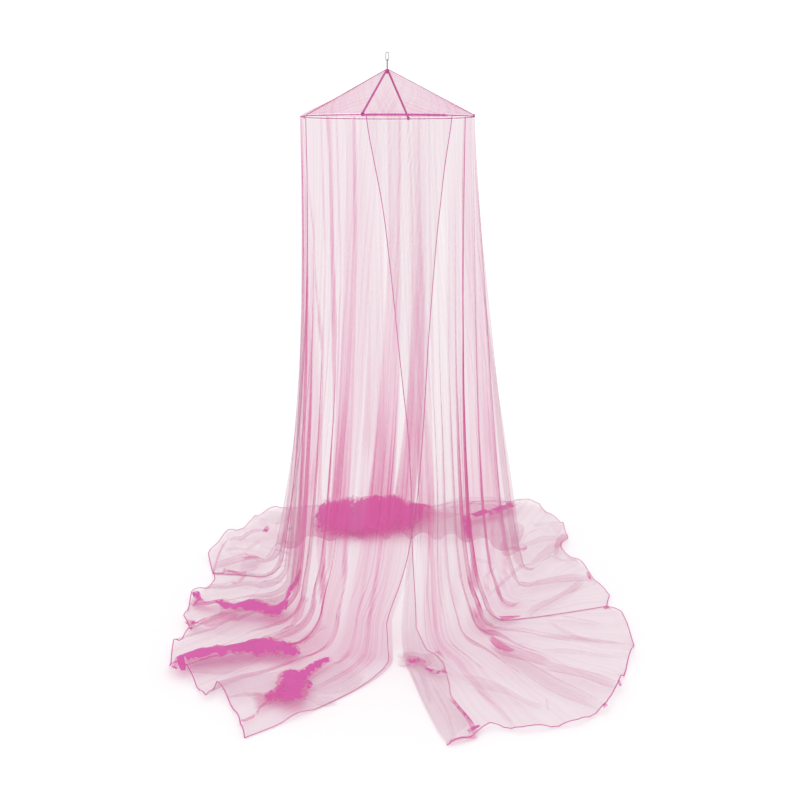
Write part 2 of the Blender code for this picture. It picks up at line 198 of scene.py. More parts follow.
def net_cover():
    """Cover = layers x lengthwise streaks x knit; bunch turns it opaque inside a ragged outline. Colour and a
    painted glow deepen with cover.
    """
    sockets = {"Alpha": VALUE, "Base Color": COLOUR, "Emission Color": COLOUR}
    group, taken, given = shader_group("net_cover", {"Layers": VALUE, "Bunch": VALUE}, sockets)
    cloth = group.nodes.new("ShaderNodeUVMap")
    cloth.uv_map = "cloth"

    def on_cloth(kind, repeats, **inputs):
        """A flat texture laid on the cloth at so many repeats a metre across and along."""
        place = fed(group, "ShaderNodeMapping", Vector=cloth.outputs["UV"], Scale=(*repeats, 1.0))
        return fed(group, kind, Vector=place.outputs["Vector"], Scale=1.0, **inputs)

    def combined(operation, first, second):
        """Two values put together by this operation."""
        node = group.nodes.new("ShaderNodeMath")
        node.operation = operation
        group.links.new(first, node.inputs[0])
        group.links.new(second, node.inputs[1])
        return node.outputs[0]

    streak = on_cloth("ShaderNodeTexNoise", STREAKS_A_METRE, Detail=3.0, Roughness=0.70)
    rag = on_cloth("ShaderNodeTexNoise", RAGS_A_METRE, Detail=3.0)
    streak.noise_dimensions = rag.noise_dimensions = "2D"
    knit = on_cloth("ShaderNodeTexVoronoi", (1 / NET_PITCH, 1 / NET_PITCH))
    knit.voronoi_dimensions = "2D"
    knit.feature = "DISTANCE_TO_EDGE"
    # A thin streak lets more through than a thick one, a hole in the knit more than its threads.
    streaks = ranged(group, streak.outputs["Fac"], 0.46, 0.74, 0.93, 1.52)
    thread = ranged(group, knit.outputs["Distance"], 0.0, 0.3, 1.3, 0.8)
    sheer = combined("MULTIPLY", combined("MULTIPLY", streaks, thread), taken["Layers"])
    fray = ranged(group, rag.outputs["Fac"], 0.28, 0.72, -0.45, 0.45)
    bunched = ranged(group, combined("ADD", taken["Bunch"], fray), 0.48, 0.58, 0.0, MOST_COVER)
    cover = combined("MAXIMUM", sheer, bunched)
    deep = ranged(group, cover, 0.12, 0.36, 0.0, 1.0)
    # Thin net takes the darker, greyer tone of painted thread shade; its glow is painted light in the same
    # tones.
    tone = blended(group, deep, THIN_SHADED_PINK, DEEP_PINK)
    painted_glow = blended(group, deep, [c * PAINTED_NET_GLOW for c in THIN_SHADED_PINK], [c * PAINTED_NET_GLOW for c in DEEP_PINK])
    group.links.new(cover, given["Alpha"])
    group.links.new(blended(group, bunched, tone, BUNCHED_PINK), given["Base Color"])
    group.links.new(blended(group, bunched, painted_glow, PAINTED_BUNCH_GLOW), given["Emission Color"])
    return group


# Cover and colour follow the mesh's layers and bunch shares. The emission is painted light: the net glows in
# its own tones, lifting it out of its own shade.
PINK_NET, net_tree, net_shader = shader_material("pink_net", DEEP_PINK, 0.75)
net_shader.inputs["Specular IOR Level"].default_value = 0.15
net_shader.inputs["Emission Strength"].default_value = 1.0
held_shares = {}
for share in ("layers", "bunch"):
    attribute = net_tree.nodes.new("ShaderNodeAttribute")
    attribute.attribute_name = share
    held_shares[share.title()] = attribute.outputs["Fac"]
net_look = fed(net_tree, net_cover(), **held_shares)
for label in ("Alpha", "Base Color", "Emission Color"):
    net_tree.links.new(net_look.outputs[label], net_shader.inputs[label])

# ================================================================ skirt
# Three net panels sewn to the hoop's channel; the two front ones overlap. Each falls in soft folds, turns on
# the floor and lies out in a fan, longer than the drop. Where the cloth is bunched it turns opaque.
SEAMS = (-15.0, 75.0, 165.0, 255.0)
HOOP_RADIUS = 0.300
HOOP_HEIGHT = FLOOR + 1.800
CHANNEL = 0.0084
NET_TOP = HOOP_HEIGHT - CHANNEL / 2

# Each of these tables has one row of numbers a field, and is read between its entries. Drop runs from the
# hoop (0) to the floor (1), and share from a panel's first edge (0) to its last (1).
Edge = namedtuple("Edge", "drop azimuth")
RIGHT_PANEL_EDGE = Edge(
    drop=(0, 0.07, 0.17, 0.31, 0.45, 0.61, 0.75, 1),
    azimuth=(-13.5, -9, -2.5, 2.5, 6.5, 11, 12, 5.5),
)
LEFT_PANEL_EDGE = Edge(
    drop=(0, 0.08, 0.24, 0.42, 0.6, 0.75, 0.9, 1),
    azimuth=(46, 39, 31, 25, 21, 17, 12, 0.5),
)
LEFT_SEWN_EDGE = LEFT_PANEL_EDGE._replace(azimuth=(46, 39, 31, 25, 20.4, 16, 7.7, -2))
Foot = namedtuple("Foot", "azimuth radius turn bend")
FEET = Foot(
    azimuth=(-105, -88, -60, -30, 0, 40, 62, 75, 90, 115, 135, 160, 180, 200, 220, 240, 255),
    radius=(
        0.455, 0.376, 0.38, 0.405, 0.42, 0.435, 0.43, 0.445, 0.49, 0.585, 0.565, 0.47, 0.44, 0.47, 0.53,
        0.525, 0.455
    ),
    turn=(
        0.1, 0.1, 0.1, 0.095, 0.085, 0.06, 0.045, 0.045, 0.055, 0.07, 0.085, 0.1, 0.1, 0.1, 0.1, 0.1,
        0.1
    ),
    bend=(
        0.36, 0.36, 0.36, 0.34, 0.24, 0.22, 0.08, 0.06, 0.06, 0.1, 0.2, 0.3, 0.36, 0.36, 0.36, 0.36,
        0.36
    ),
)
Hem = namedtuple("Hem", "share x y")
RIGHT_HEM = Hem(
    share=(0, 0.1, 0.2, 0.32, 0.5, 0.62, 0.7, 0.86, 0.94, 1),
    x=(0.169, 0.229, 0.304, 0.4, 0.572, 0.678, 0.77, 0.862, 0.872, 0.832),
    y=(-1, -0.977, -0.917, -0.941, -0.906, -0.827, -0.654, -0.434, -0.205, -0.133),
)
BACK_HEM = Hem(
    share=(0, 0.05, 0.1, 0.15, 0.2, 0.25, 0.31, 0.37, 0.43, 0.5, 0.65, 0.8, 0.86, 0.91, 0.95, 0.98, 1),
    x=(
        0.832, 0.859, 0.826, 0.8, 0.744, 0.804, 0.783, 0.731, 0.6, 0.2, -0.08, -0.34, -0.54, -0.64,
        -0.728, -0.769, -0.723
    ),
    y=(
        -0.133, -0.06, 0.11, 0.252, 0.386, 0.528, 0.726, 0.904, 0.97, 0.9, 0.86, 0.88, 0.89, 0.67, 0.6,
        0.328, 0.174
    ),
)
LEFT_HEM = Hem(
    share=(0, 0.07, 0.14, 0.22, 0.3, 0.38, 0.46, 0.56, 0.66, 0.74, 0.86, 1),
    x=(-0.723, -0.7, -0.765, -0.76, -0.705, -0.759, -0.736, -0.679, -0.581, -0.564, -0.464, -0.431),
    y=(0.174, 0.09, -0.051, -0.23, -0.342, -0.406, -0.579, -0.592, -0.76, -0.66, -0.864, -0.958),
)
Fold = namedtuple("Fold", "width depth ridge")
RIGHT_FOLDS = Fold(
    width=(0.8, 1, 1.1, 0.9, 1.2, 0.8, 1),
    depth=(0.012, 0.016, 0.02, 0.018, 0.024, 0.02, 0.018),
    ridge=(0.016, 0.022, 0.026, 0.03, 0.034, 0.026, 0.02),
)
BACK_FOLDS = Fold(
    width=(0.9, 1.1, 0.8, 1.1, 0.9, 0.7, 0.7, 0.7, 0.7, 0.8, 1, 0.9, 0.8),
    depth=(0.018, 0.024, 0.02, 0.026, 0.018, 0.014, 0.014, 0.014, 0.014, 0.014, 0.018, 0.022, 0.016),
    ridge=(0.02, 0.03, 0.03, 0.026, 0.028, 0.03, 0.03, 0.03, 0.03, 0.03, 0.03, 0.045, 0.03),
)
LEFT_FOLDS = Fold(
    width=(0.9, 0.8, 1, 0.7, 0.9, 1, 0.7, 0.9, 1.1, 0.9, 0.8),
    depth=(0.014, 0.018, 0.02, 0.016, 0.02, 0.022, 0.016, 0.018, 0.02, 0.016, 0.012),
    ridge=(0.03, 0.045, 0.03, 0.05, 0.032, 0.028, 0.045, 0.024, 0.022, 0.018, 0.014),
)
# Bundles of tight pleats, one a row: azimuth at the hoop, at mid drop and at the floor, half width at the
# hoop and at the floor, how tight they are, and how far out over the lying cloth they hold.
Bundle = namedtuple("Bundle", "top middle foot wide foot_wide tight reach")
LEFT_BUNDLES = (
    (-88, -60, -64, 15, 9, 0.46, 0.15),
    (-81, -64, -66, 9, 1.5, 0.52, 0.1),
    (-72, -46.5, -55, 1, 1, 0.55, 0.3),
    (-46, -43, -42, 0.8, 1.4, 0.45, 0.5),
    (-40, -35, -38, 1.6, 1.5, 0.85, 0.4),
    (-33, -31, -35, 0.8, 1, 0.45, 0.4),
    (-23.5, -25.6, -31, 3, 6, 0.98, 0.4),
    (-20.5, -20.8, -25, 1, 1, 0.75, 0.9),
    (-12, -18, -27, 7, 1.5, 0.24, 0.2),
    (-10, -12, -20, 0.9, 1.6, 0.22, 0.6),
    (0.5, -1.5, -16, 0.8, 1, 0.55, 0.4),
    (4, 1, -13, 3, 9, 1.06, 0.25),
    (7.5, 3, -9.5, 1, 1, 0.75, 0.7),
    (12.5, 13, -6, 0.8, 1, 0.5, 0.4),
    (16.5, 16.5, -6, 1.6, 8.5, 1.05, 0.1),
    (31, 26, 8, 0.9, 1.6, 0.15, 0.6),
)
RIGHT_BUNDLES = (
    (19.5, 19.5, 22, 1, 1, 0.5, 0.9),
    (22, 19, 20, 3, 5, 0.66, 0.1),
    (26, 25, 24, 0.8, 1, 0.3, 0.4),
    (30, 30, 26, 0.8, 1.2, 0.14, 0.9),
    (43, 42, 40, 6, 1.5, 0.16, 0.3),
    (37, 35, 34, 0.8, 1.4, 0.15, 0.6),
    (50, 43, 42, 2, 4, 0.35, 0.3),
    (58.5, 47, 47, 1.4, 1.4, 0.75, 0.2),
)
BACK_BUNDLES = (
    (75, 66, 65, 14, 20, 0.42, 0.2),
    (66, 54, 52, 5.5, 1.5, 0.26, 0.2),
    (69, 60, 58, 1, 1.2, 0.45, 0.3),
    (80, 72, 68, 1, 1.2, 0.4, 0.3),
    (88, 80, 76, 1.5, 1.5, 0.4, 0.2),
    (118, 122, 124, 4, 6, 0.22, 0.3),
    (160, 163, 166, 3, 6, 0.34, 0.3),
    (186, 188, 190, 3, 9, 0.34, 0.3),
    (205, 206, 210, 1, 1.5, 0.4, 0.1),
    (224, 222, 226, 1, 1.5, 0.3, 0.1),
)
# Soft heaps on the floor, one a row: a path from x, y to to_x, to_y that bows sideways, its half width and
# its height, all in millimetres, the ripples along it and the net that it adds, in percent.
Heap = namedtuple("Heap", "x y to_x to_y bow half_width height ripples adds")
LEFT_HEAPS = (
    (-615, -168, -386, -192, -30, 60, 18, 0, 6),
    (-389, -160, -356, 65, -20, 45, 14, 0, 6),
    (-695, -580, -334, -494, 20, 65, 20, 0, 6),
    (-317, -667, -301, -830, 0, 70, 22, 0, 8),
    (-290, -680, -206, -567, 10, 40, 14, 0, 6),
    (-700, -300, -360, -230, 20, 60, 12, 4, 4),
)
RIGHT_HEAPS = (
    (362, -399, 761, -679, -50, 40, 14, 0, 4),
    (380, -430, 670, -815, 30, 50, 14, 0, 4),
    (20, -510, 165, -545, 0, 30, 26, 1, 8),
    (180, -560, 400, -640, 0, 40, 10, 0, 3),
)
BACK_HEAPS = (
    (-250, 640, 100, 680, 20, 220, 20, 0, 10),
    (330, 600, 640, 900, 0, 80, 30, 2, 6),
    (400, 330, 786, 610, 30, 36, 18, 0, 4),
    (160, 760, 500, 860, 20, 60, 26, 3, 8),
    (-440, 480, -640, 700, 0, 60, 20, 2, 8),
)
# Laps are strips of cloth folded flat over it, one a row: path as above, width at its start, middle and end,
# and in percent the net it adds, how much more along its edges, how far it is bunched, and how ragged it is.
Lap = namedtuple("Lap", "x y to_x to_y bow start middle end adds edge bunch rag", defaults=(0, 0))
RIGHT_LAPS = (
    (347, -462, 545, -632, 2, 31, 42, 29, 24, 40),
    (349, -443, 432, -532, -5, 12, 20, 9, 55, 20),
    (507, -624, 746, -735, 7, 31, 49, 30, 16, 60),
    (354, -496, 666, -854, -8, 39, 58, 20, 11, 80),
    (145, -559, 270, -690, -5, 32, 36, 25, 9, 30),
    (245, -665, 489, -844, 0, 44, 43, 10, 13, 20),
    (268, -711, 378, -939, 7, 8, 8, 6, 12, 0),
    (394, -360, 855, -453, 34, 22, 22, 14, 16, 0),
    (575, -299, 769, -433, -9, 14, 17, 14, 12, 0),
    (426, -477, 804, -561, 21, 14, 17, 13, 12, 0),
    (639, -249, 788, -307, -3, 12, 15, 12, 12, 0),
    (559, -285, 772, -316, 5, 12, 15, 11, 10, 0),
    (400, -268, 491, -246, 3, 22, 29, 11, 60, 30),
    (335, -248, 410, -307, -21, 69, 95, 41, 15, 10),
    (24, -537, 159, -566, 2, 26, 65, 19, 14, 90),
    (58, -547, 125, -562, -4, 13, 26, 6, 30, 20, 40, 30),
    (176, -616, 188, -647, 0, 8, 16, 8, 50, 30, 50, 50),
    (230, -949, 274, -929, 0, 9, 14, 9, 50, 40, 45, 50),
    (745, -699, 743, -736, 0, 7, 10, 7, 50, 20, 45, 50),
    (659, -848, 676, -839, 0, 9, 13, 9, 50, 20, 45, 50),
    (493, -799, 490, -858, 0, 5, 6, 5, 12, 0),
    (70, -588, 167, -1005, -9, 7, 7, 6, 18, 0),
    (167, -1005, 267, -970, 3, 14, 14, 14, 45, 0, 30, 50),
    (139, -702, 193, -972, 6, 7, 10, 6, 10, 0),
    (97, -601, 128, -824, 6, 10, 17, 6, 10, 20),
    (31, -482, 67, -590, 8, 16, 23, 11, 16, 30),
    (105, -565, 185, -641, -11, 16, 21, 16, 30, 20, 45, 70),
    (184, -766, 258, -969, 11, 7, 12, 16, 45, 20, 55, 70),
)
BACK_LAPS = (
    (501, -232, 788, 77, -9, 16, 33, 23, 18, 30),
    (470, -56, 810, 91, 21, 23, 47, 48, 20, 30),
    (360, -143, 758, 443, 1, 15, 27, 58, 16, 30),
    (513, 364, 777, 497, 0, 45, 46, 56, 16, 30),
    (732, 337, 801, 555, 16, 26, 31, 23, 30, 30),
    (662, 684, 789, 538, 7, 20, 49, 58, 10, 30),
    (480, 351, 579, 317, -95, 52, 70, 62, 22, 40),
    (526, 338, 592, 381, -30, 17, 25, 17, 30, 30, 40, 30),
    (600, 637, 539, 401, 9, 37, 41, 22, 20, 30),
    (512, 710, 510, 379, 8, 24, 28, 22, 14, 30),
    (343, 193, 433, 145, 0, 28, 37, 27, 10, 0),
    (367, 6, 436, 135, -1, 10, 10, 10, 12, 0),
    (366, 689, 467, 776, 0, 55, 55, 28, 40, 20, 100, 50),
    (454, 739, 535, 795, -1, 30, 50, 51, 40, 20, 60, 60),
    (495, 769, 601, 865, 0, 36, 55, 56, 40, 20, 85, 60),
    (582, 947, 592, 796, -2, 16, 21, 11, 40, 20, 85, 60),
    (353, 652, 358, 472, -2, 43, 42, 18, 40, 20, 85, 70),
    (199, 685, 576, 669, -7, 368, 416, 318, 6, 40),
    (154, 729, 369, 734, 24, 50, 50, 37, 22, 30),
    (228, 901, 608, 992, 29, 26, 39, 26, 12, 0),
    (-340, 776, -165, 764, 0, 403, 428, 478, 35, 10, 130, 95),
    (-280, 653, -5, 653, 0, 241, 301, 241, 35, 10, 130, 95),
    (-185, 802, 81, 802, 0, 437, 501, 462, 35, 10, 135, 95),
    (5, 764, 169, 764, 0, 480, 404, 164, 35, 10, 130, 95),
    (71, 802, 215, 840, 0, 198, 174, 75, 30, 10, 95, 95),
    (813, 142, 814, 83, 0, 9, 13, 9, 50, 20, 50, 50),
    (816, -152, 842, -137, 0, 13, 13, 13, 50, 20, 50, 50),
    (692, 277, 721, 401, -13, 12, 17, 17, 16, 20),
    (670, 270, 789, 190, 53, 19, 24, 19, 14, 0),
    (-474, 943, -448, 585, 0, 7, 8, 7, 35, 0),
    (-604, 600, -449, 778, 40, 29, 119, 139, 9, 50),
    (-706, 442, -551, 540, 30, 21, 43, 32, 24, 30),
    (-556, 511, -547, 580, 0, 16, 21, 16, 45, 20, 40, 40),
    (-731, 236, -528, 281, -7, 40, 61, 51, 22, 50),
    (-582, 248, -439, 590, -26, 52, 92, 84, 5, 30),
    (-614, 237, -531, 302, -10, 14, 20, 18, 45, 0),
    (-528, 285, -420, 483, -23, 14, 18, 15, 26, 0),
    (-525, 263, -390, 164, 0, 24, 19, 15, 14, 0),
    (-618, 205, -534, 202, 8, 77, 97, 58, 13, 20),
    (-452, 537, -439, 583, 0, 18, 18, 12, 45, 0, 40, 40),
    (-723, 161, -706, 470, 8, 7, 9, 8, 40, 0),
    (-726, 177, -683, 215, -27, 14, 17, 14, 36, 0),
    (-708, 351, -543, 407, 4, 21, 32, 32, 18, 20),
    (-598, 17, -381, 79, 5, 14, 18, 15, 10, 0),
    (-557, 127, -386, 126, -10, 15, 19, 15, 9, 0),
    (-611, -100, -375, -73, -3, 14, 21, 14, 9, 0),
)
LEFT_LAPS = (
    (-654, -158, -362, -206, -31, 47, 76, 70, 40, 20, 130, 95),
    (-752, -84, -610, -153, -23, 57, 42, 28, 50, 40, 52, 70),
    (-757, -80, -729, -65, -2, 25, 42, 25, 50, 30, 75, 50),
    (-398, -222, -352, 57, -17, 30, 20, 7, 40, 20, 110, 95),
    (-724, -300, -542, -245, -27, 39, 46, 32, 30, 30),
    (-743, -277, -695, -301, 4, 19, 32, 19, 45, 20, 50, 50),
    (-658, -340, -372, -257, -33, 53, 68, 31, 4, 30),
    (-692, -112, -398, -147, -27, 24, 48, 32, 13, 20),
    (-729, -565, -327, -492, 27, 93, 102, 82, 40, 20, 135, 90),
    (-388, -501, -299, -534, 2, 74, 74, 24, 35, 10, 90, 90),
    (-674, -631, -441, -568, -3, 26, 39, 13, 12, 40),
    (-684, -533, -451, -494, 3, 20, 27, 21, 18, 30),
    (-713, -632, -707, -550, -1, 15, 19, 12, 45, 20, 50, 50),
    (-711, -539, -677, -635, 0, 17, 23, 13, 50, 20, 100, 40),
    (-326, -616, -297, -838, 0, 66, 105, 49, 40, 10, 125, 110),
    (-309, -689, -190, -545, 10, 69, 38, 21, 38, 10, 108, 85),
    (-404, -754, -322, -744, -4, 47, 93, 88, 40, 10, 90, 90),
    (-271, -674, -265, -749, 13, 13, 16, 10, 40, 10, 70, 50),
    (-546, -745, -311, -657, 9, 77, 96, 61, 12, 25),
    (-432, -782, -315, -756, 0, 114, 80, 46, 30, 20),
    (-267, -726, -117, -594, -19, 83, 141, 129, 12, 10),
    (-267, -800, -161, -773, -2, 22, 34, 22, 12, 30),
    (-456, -896, -410, -860, -5, 10, 10, 10, 45, 0),
    (-408, -869, -351, -769, 16, 8, 9, 9, 40, 0),
    (-685, 207, -578, 127, 15, 22, 17, 17, 42, 0),
    (-630, 22, -572, 89, -4, 15, 15, 15, 30, 0),
    (-656, 133, -585, 98, 3, 64, 56, 16, 14, 30),
    (-715, -30, -619, 52, -3, 24, 65, 41, 10, 20),
    (-521, -782, -318, -719, 17, 11, 14, 12, 14, 0),
    (-302, -459, -232, -369, 19, 22, 34, 34, 20, 30),
    (-443, -448, -318, -366, 32, 13, 20, 20, 22, 0),
    (-471, -732, -394, -789, 6, 9, 9, 9, 12, 0),
    (-389, -437, -307, -199, -9, 13, 32, 24, 30, 30),
)
RIGHT_SEAM = Edge(
    drop=(0, 0.2, 0.35, 0.5, 0.62, 0.78, 0.88, 0.95, 1),
    azimuth=(60, 55, 51.5, 48.5, 47, 46.5, 49, 53, 62),
)

EDGE_ROUNDING = 0.03
EDGE_EASE = 0.02
FOLD_LEAN = 0.10
FOLD_AT_TOP = 0.05
FOLD_GROWTH = 1.25
BOW_MIDDLE = 1.7
BOW_SIDEWAYS = 0.5
VALLEY = 0.40
LAP_TOP = 0.0012
LAP_GROWTH = 0.0050
LAP_MARGIN = 14.0
LAP_EASE = 12.0
HEM_FLATTENING = 0.45
HANG_ROWS = 44
TURN_ROWS = 9
LIE_ROWS = 32
STEPS_A_FOLD = 84
PLEAT = 0.031
PLEAT_DEEPEST = 0.0080
PLEAT_CREST = 0.94
LYING_PLEAT = 0.9
NET_LIFT = 0.001
CREASE_SIZE = 0.21
CREASE_HEIGHT = 0.008
HEAP_STEPS = 28
HEAP_CREASE = 0.075
MEAN_RADIUS = 0.36
BUNDLE_EASE = 0.25
LINE_WIDEST = 1.5
ONE_LAYER = 0.140
LAPPED_FLAT = 0.45
GATHERED_NET = 0.46


def ramp(value):
    """0 below 0, 1 above 1, and an even S between them."""
    value = np.clip(value, 0.0, 1.0)
    return value * value * (3.0 - 2.0 * value)


def bell(value):
    """1 at 0, falling evenly to 0 at -1 and 1."""
    return np.cos(np.clip(value, -1.0, 1.0) * np.pi / 2) ** 2


def through(place, first, middle, last):
    """The parabola that is first at place 0, middle at 0.5 and last at 1."""
    value = first * (1 - place) * (1 - 2 * place) + middle * 4 * place * (1 - place)
    return value + last * place * (2 * place - 1)


def evened(values):
    """Moves each row but the first and last to the mean of itself, twice, and its neighbours, in place."""
    values[1:-1] = (values[:-2] + 2 * values[1:-1] + values[2:]) / 4


def outward(azimuth):
    """The level unit vectors at these azimuths, in degrees from the front."""
    angle = np.radians(azimuth)
    return np.stack([np.sin(angle), -np.cos(angle), np.zeros_like(angle)], axis=-1)


def edge_azimuth(table, drop):
    """Azimuth by drop: a line through the table's entries, averaged over a little drop to round it."""
    shifts = (-EDGE_ROUNDING, 0, EDGE_ROUNDING)
    return sum(np.interp(drop + shift, table.drop, table.azimuth) for shift in shifts) / 3


def foot(azimuth, field):
    """A measure of the turn on the floor at this azimuth, from the line through the FEET table's entries."""
    first = FEET.azimuth[0]
    level = (azimuth - first) % 360.0 + first
    return np.interp(level, FEET.azimuth, getattr(FEET, field))


def lying(wave):
    """The height of a fold that lies on the floor, as a share of its ridge: flat in its valleys."""
    return np.maximum(0.0, (wave + VALLEY) / (1 + VALLEY))


def uneven(share, seed):
    """A slow wobble between -1 and 1, from sines whose pitches have no common measure."""
    angle = 2 * np.pi * share
    return (np.sin(angle * 7.3 + seed) + np.sin(angle * 13.1 + 2.1 * seed) + np.sin(angle * 29.7 - seed)) / 3


def wrinkle(x, y, size):
    """Soft creases in all directions: sines of a plane wave at each of five turned directions, added up."""
    total = np.zeros_like(x)
    for turn in range(5):
        angle = 0.7 + turn * 1.27
        across = (x * np.cos(angle) + y * np.sin(angle)) / size
        along = (y * np.cos(angle) - x * np.sin(angle)) / size
        bent = np.sin(2 * np.pi * across + 2.0 * np.sin(2.3 * along + turn))
        total += bent * np.sin(1.9 * along + 3 * turn)
    return total / 3


def heap_path(row, points):
    """How near each point is to a heap's path, 1 on it and 0 at its half width, and how far along it is."""
    share = np.linspace(0.0, 1.0, HEAP_STEPS)
    side = np.array([row.y - row.to_y, row.to_x - row.x])
    side = side / np.linalg.norm(side)
    path = np.outer(1 - share, (row.x, row.y)) + np.outer(share, (row.to_x, row.to_y))
    path = path + np.outer(4 * share * (1 - share) * row.bow, side)
    nearest = np.full(points.shape[:-1], np.inf)
    along = np.zeros_like(nearest)
    for place, (x, y) in zip(share, path):
        level = (points[..., 0] - x) ** 2 + (points[..., 1] - y) ** 2
        away = np.sqrt(level + (points[..., 2] - FLOOR) ** 2)
        along = np.where(away < nearest, place, along)
        nearest = np.minimum(nearest, away)
    return bell(nearest / row.half_width), along


def heaped(points, heaps, gain):
    """Height and added net from the heaps, at points on the flat cloth. Height grows by gain."""
    height = np.zeros(points.shape[:-1])
    added = np.zeros_like(height)
    crumple = wrinkle(points[..., 0], points[..., 1], HEAP_CREASE)
    for *lengths, ripples, adds in heaps:
        row = Heap(*(length / 1000 for length in lengths), ripples, adds / 100)
        near, along = heap_path(row, points)
        ripple = np.sin(2 * np.pi * row.ripples * along + 2.2 * crumple) if row.ripples else 0.6
        height = np.maximum(height, row.height * near**0.7 * (0.68 + 0.32 * ripple))
        added = np.maximum(added, row.adds * near)
    return height * gain, added


def cloth_places(across, along):
    """Cloth coordinates in metres for every point of a grid."""
    return np.stack(np.broadcast_arrays(across, along), -1)


def skirt_panel(first, last, hem, folds, bundles, heaps, laps_over, hem_width, seed):
    """Returns a panel's points, cloth coordinates and layers, rows from the hoop to the hem.

    Across, the cloth follows its folds: an even wave in each fold of the table, with fine pleats on it that
    deepen inside the bundles. Down, it falls along a curve from the hoop to its foot, turns a quarter circle
    and lies along a bent line to its place on the hem. The folds swing from outward to upward with it.
    Layers is one layer's cover times how steeply the pleats run, as steep net hides more of what is behind.
    laps_over is 1 on the panel whose front edge laps outside the other one, -1 on the other, 0 at the back.
    """
    widths = np.array(folds.width)
    starts = np.concatenate([[0.0], np.cumsum(widths)]) / widths.sum()
    step = np.arange(len(widths) * STEPS_A_FOLD + 1)
    fold = np.minimum(step // STEPS_A_FOLD, len(widths) - 1)
    part = step / STEPS_A_FOLD - fold
    share = starts[fold] + (part - FOLD_LEAN * np.sin(2 * np.pi * part)) * np.diff(starts)[fold]
    wave = -np.cos(2 * np.pi * part)
    middles = (starts[:-1] + starts[1:]) / 2
    depth = np.interp(share, middles, folds.depth)
    ridge = np.interp(share, middles, folds.ridge)

    drop = np.linspace(0.0, 1.0, HANG_ROWS)[:, None]
    start, end = edge_azimuth(first, drop), edge_azimuth(last, drop)
    azimuth = start + (end - start) * share
    bow = BOW_MIDDLE - BOW_SIDEWAYS * np.sin(np.radians(azimuth))
    radius = HOOP_RADIUS + (foot(azimuth, "radius") - HOOP_RADIUS) * drop**bow
    if laps_over > 0:
        lean = ramp((edge_azimuth(LEFT_PANEL_EDGE, drop) + LAP_MARGIN - azimuth) / LAP_EASE)
    elif laps_over < 0:
        lean = -ramp((azimuth - edge_azimuth(RIGHT_PANEL_EDGE, drop) + LAP_MARGIN) / LAP_EASE)
    else:
        lean = np.zeros_like(azimuth)

    # Fine pleats: a rounded zigzag across the cloth, each pleat's width uneven, its depth by its bundle.
    phase = 2 * np.pi * (hem_width / PLEAT * share + 0.8 * uneven(share, seed))
    phase = phase + 1.2 * uneven(share * 3.1 + 0.06 * drop, seed + 2)
    zigzag = np.arcsin(PLEAT_CREST * np.sin(phase)) / 1.2
    edge_ease = ramp(share / EDGE_EASE) * ramp((1 - share) / EDGE_EASE)
    tight = np.zeros_like(azimuth)
    held = np.zeros_like(share)
    for row in map(Bundle._make, bundles):
        centre = through(drop, row.top, row.middle, row.foot)
        # A wide bundle tightens on its way down and eases at the floor; a narrow one is a line in the cloth.
        if row.foot_wide > LINE_WIDEST:
            rise = 0.15 + 0.80 * drop**1.2 + 0.22 * ramp(drop * 4 - 2)
            rise = rise * (1 - 0.72 * ramp(drop * 10 - 7.4))
        else:
            rise = 0.70 + 0.30 * drop
        wide = row.wide + (row.foot_wide - row.wide) * drop
        near = ramp((1 - np.abs(azimuth - centre) / wide) / BUNDLE_EASE)
        tight = np.maximum(tight, row.tight * near * rise)
        held = np.maximum(held, row.reach * near[-1])
    # Outside the bundles the pleats come and go in patches.
    patchy = ramp(0.42 + 0.9 * uneven(share * 3.3 + 0.03 * np.sin(5 * drop), seed + 5))
    loose = np.minimum(tight, 0.6)
    pleat = PLEAT_DEEPEST * (0.06 + 0.94 * drop**0.7) * (0.06 + 0.24 * patchy + 0.5 * loose) * edge_ease

    # The folds deepen on their way down. Where the front panels lap, one leans out and the other in.
    growth = FOLD_AT_TOP + (1 - FOLD_AT_TOP) * drop**FOLD_GROWTH
    radius = radius + depth * growth * (wave + lean) + pleat * (zigzag + lean)
    radius = radius + lean * (LAP_TOP + LAP_GROWTH * drop)
    hang = outward(azimuth) * radius[..., None]
    fillet = foot(azimuth[-1], "turn")
    hang[..., 2] = NET_TOP + (FLOOR + fillet - NET_TOP) * drop

    # The turn on the floor: a quarter circle, while the folds swing from outward to upward.
    away = outward(azimuth[-1])
    foot_point = away * foot(azimuth[-1], "radius")[:, None]
    turn = np.radians(np.linspace(0.0, 90.0, TURN_ROWS + 1)[1:, None])
    flatness = np.sin(turn)
    low_pleat = pleat[-1] * (zigzag[-1] + 1.0)
    swell = (1 - flatness) * (depth * (wave + lean[-1]) + pleat[-1] * (zigzag[-1] + lean[-1]))
    swell = swell + flatness * (ridge * lying(wave) + low_pleat * LYING_PLEAT)
    reach = fillet * (1 - np.cos(turn)) + swell * np.cos(turn) + lean[-1] * LAP_GROWTH * (1 - flatness)
    bend = foot_point + away * reach[..., None]
    bend[..., 2] = FLOOR + NET_LIFT + fillet * (1 - flatness) + swell * flatness

